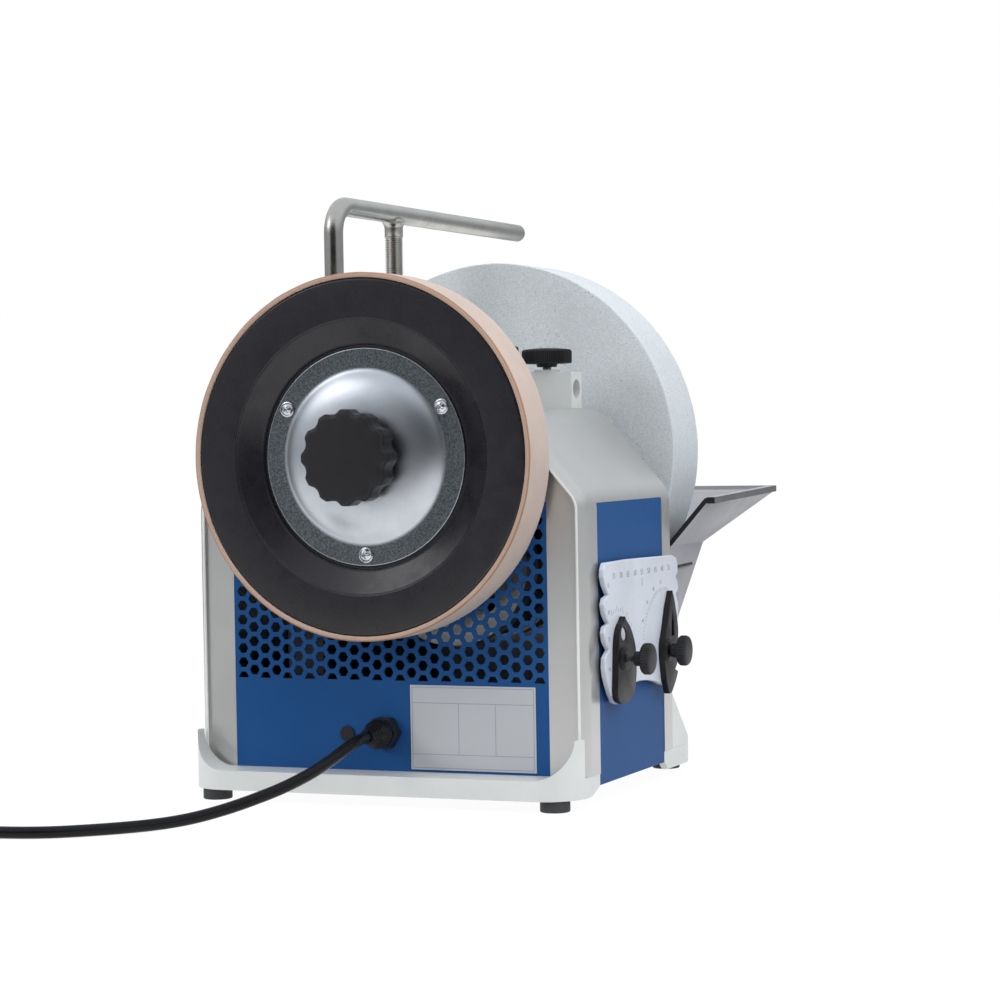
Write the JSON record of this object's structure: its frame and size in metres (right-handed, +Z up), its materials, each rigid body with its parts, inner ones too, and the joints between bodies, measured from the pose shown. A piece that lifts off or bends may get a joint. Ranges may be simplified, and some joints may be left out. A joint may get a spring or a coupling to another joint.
{
  "type": "wet grinding sharpener",
  "caption": "Bench machine with a water-cooled grindstone and a leather honing wheel on one motor-driven shaft, an adjustable tool support bar, a water trough and an angle gauge.",
  "frame": {"origin": "on the bench, at the middle of the machine's footprint box without its mains lead", "axes": "+Z up, +Y along the main shaft from the honing wheel towards the stone, +X towards the side with the angle gauge"},
  "size_m": [0.4121, 0.634, 0.3727],
  "materials": {
    "cast_metal": "satin grey casting",
    "cast_base": "satin pale grey casting",
    "foot_rubber": "matt black rubber",
    "zinc_screw": "bright zinc",
    "blue_paint": "satin blue powder coat",
    "label_foil": "matt foil, left blank",
    "black_plastic": "fine-textured black moulding",
    "nylon": "natural nylon",
    "steel": "turned steel",
    "dark_steel": "black-painted steel",
    "white_plastic": "white moulding",
    "red_plastic": "gloss red moulding",
    "cord_rubber": "black lead sheath",
    "wheel_plastic": "satin black moulding",
    "honing_leather": "undyed vegetable-tanned leather",
    "zinc_plate": "pressed zinc-plated steel",
    "stone": "matt vitrified aluminium-oxide grit",
    "laminations": "varnished steel laminations",
    "chromed_bar": "polished stainless bar",
    "trough_plastic": "grey moulding",
    "grey_plastic": "dark grey moulding"
  },
  "bodies": {
    "housing": {"housing_shell": "cast_metal", "base_frame": "cast_base", "rubber_feet": "foot_rubber", "foot_screws": "zinc_screw", "rear_wall": "cast_metal", "vent_panel": "blue_paint", "side_panel_right": "blue_paint", "side_panel_left": "blue_paint", "rating_plate": "label_foil", "blanking_plug": "black_plastic", "shaft_bushings": "nylon", "horizontal_sleeves": "cast_metal", "vertical_sleeves": "cast_metal", "trough_studs": "steel", "pivot_bracket": "dark_steel", "capacitor": "white_plastic", "terminal_block": "nylon", "switch_body": "black_plastic", "gland_body": "black_plastic", "strain_relief": "cord_rubber", "power_cord": "cord_rubber", "cord_coil": "cord_rubber", "cord_tie": "black_plastic", "mains_plug": "cord_rubber"},
    "shaft": {"main_shaft": "steel", "honing_hub": "wheel_plastic", "leather_tyre": "honing_leather", "friction_ring": "foot_rubber", "cover_plate": "zinc_plate", "cover_screws": "zinc_screw", "stone_flanges": "steel", "grindstone": "stone"},
    "honing_knob": {"honing_knob": "black_plastic"},
    "stone_nut": {"stone_nut": "steel"},
    "motor": {"motor_stator": "laminations", "motor_end_bells": "cast_metal", "motor_cradle": "dark_steel"},
    "rotor": {"rotor_spindle": "steel", "rotor_core": "laminations", "motor_fan": "black_plastic"},
    "support": {"tool_support": "chromed_bar"},
    "adjusting_nut": {"adjusting_nut": "black_plastic"},
    "knob_vertical_near": {"lock_knob_vertical_near": "black_plastic"},
    "knob_vertical_far": {"lock_knob_vertical_far": "black_plastic"},
    "knob_horizontal_near": {"lock_knob_horizontal_near": "black_plastic"},
    "knob_horizontal_far": {"lock_knob_horizontal_far": "black_plastic"},
    "trough": {"water_trough": "trough_plastic", "scraper": "trough_plastic"},
    "gauge": {"angle_plate": "white_plastic", "gauge_magnets": "steel"},
    "diameter_pointer": {"diameter_pointer": "grey_plastic"},
    "angle_pointer": {"angle_pointer": "grey_plastic"},
    "diameter_knob": {"diameter_knob": "black_plastic"},
    "angle_knob": {"angle_knob": "black_plastic"},
    "rocker": {"switch_rocker": "red_plastic"}
  },
  "joints": [
    {"name": "shaft_spin", "type": "hinge", "parent": "housing", "child": "shaft", "pos_m": [-0.012, -0.0795, 0.21], "axis": [0, 1, 0], "continuous": true},
    {"name": "honing_knob_turn", "type": "hinge", "parent": "shaft", "child": "honing_knob", "pos_m": [-0.012, -0.1895, 0.21], "axis": [0, -1, 0], "range_deg": [0, 1080]},
    {"name": "stone_nut_turn", "type": "hinge", "parent": "shaft", "child": "stone_nut", "pos_m": [-0.012, 0.0905, 0.21], "axis": [0, 1, 0], "range_deg": [0, 1080]},
    {"name": "motor_swing", "type": "hinge", "parent": "housing", "child": "motor", "pos_m": [-0.072, -0.0845, 0.15], "axis": [0, -1, 0], "range_deg": [0, 3]},
    {"name": "rotor_spin", "type": "hinge", "parent": "motor", "child": "rotor", "pos_m": [0.02298, -0.0845, 0.14422], "axis": [0, 1, 0], "continuous": true},
    {"name": "support_height", "type": "slide", "parent": "housing", "child": "support", "axis": [0, 0, 1], "range_m": [-0.03, 0.04]},
    {"name": "adjusting_nut_turn", "type": "hinge", "parent": "housing", "child": "adjusting_nut", "pos_m": [-0.062, -0.0145, 0.27], "axis": [0, 0, 1], "range_deg": [-7200, 9600]},
    {"name": "knob_vertical_near_turn", "type": "hinge", "parent": "housing", "child": "knob_vertical_near", "pos_m": [-0.081, -0.1045, 0.255], "axis": [-1, 0, 0], "range_deg": [0, 720]},
    {"name": "knob_vertical_far_turn", "type": "hinge", "parent": "housing", "child": "knob_vertical_far", "pos_m": [-0.081, -0.0145, 0.255], "axis": [-1, 0, 0], "range_deg": [0, 720]},
    {"name": "knob_horizontal_near_turn", "type": "hinge", "parent": "housing", "child": "knob_horizontal_near", "pos_m": [0.044, -0.1045, 0.266], "axis": [0, 0, 1], "range_deg": [0, 720]},
    {"name": "knob_horizontal_far_turn", "type": "hinge", "parent": "housing", "child": "knob_horizontal_far", "pos_m": [0.044, -0.0145, 0.266], "axis": [0, 0, 1], "range_deg": [0, 720]},
    {"name": "trough_lift", "type": "slide", "parent": "housing", "child": "trough", "axis": [0, 0, 1], "range_m": [0, 0.012]},
    {"name": "gauge_pull", "type": "slide", "parent": "housing", "child": "gauge", "axis": [1, 0, 0], "range_m": [0, 0.05]},
    {"name": "diameter_pointer_turn", "type": "hinge", "parent": "gauge", "child": "diameter_pointer", "pos_m": [0.124, -0.1045, 0.0865], "axis": [1, 0, 0], "range_deg": [-15, 15]},
    {"name": "angle_pointer_turn", "type": "hinge", "parent": "gauge", "child": "angle_pointer", "pos_m": [0.124, -0.025, 0.085], "axis": [1, 0, 0], "range_deg": [-10, 75]},
    {"name": "diameter_knob_turn", "type": "hinge", "parent": "gauge", "child": "diameter_knob", "pos_m": [0.138, -0.1045, 0.0865], "axis": [1, 0, 0], "range_deg": [0, 720]},
    {"name": "angle_knob_turn", "type": "hinge", "parent": "gauge", "child": "angle_knob", "pos_m": [0.138, -0.025, 0.085], "axis": [1, 0, 0], "range_deg": [0, 720]},
    {"name": "rocker_tilt", "type": "hinge", "parent": "housing", "child": "rocker", "pos_m": [-0.136, -0.0655, 0.071], "axis": [0, 1, 0], "range_deg": [0, 20]}
  ],
  "couplings": [
    {"joint": "rotor_spin", "follows": "shaft_spin", "ratio": 15.385},
    {"joint": "adjusting_nut_turn", "follows": "support_height", "rad_per_m": 4188.8}
  ]
}
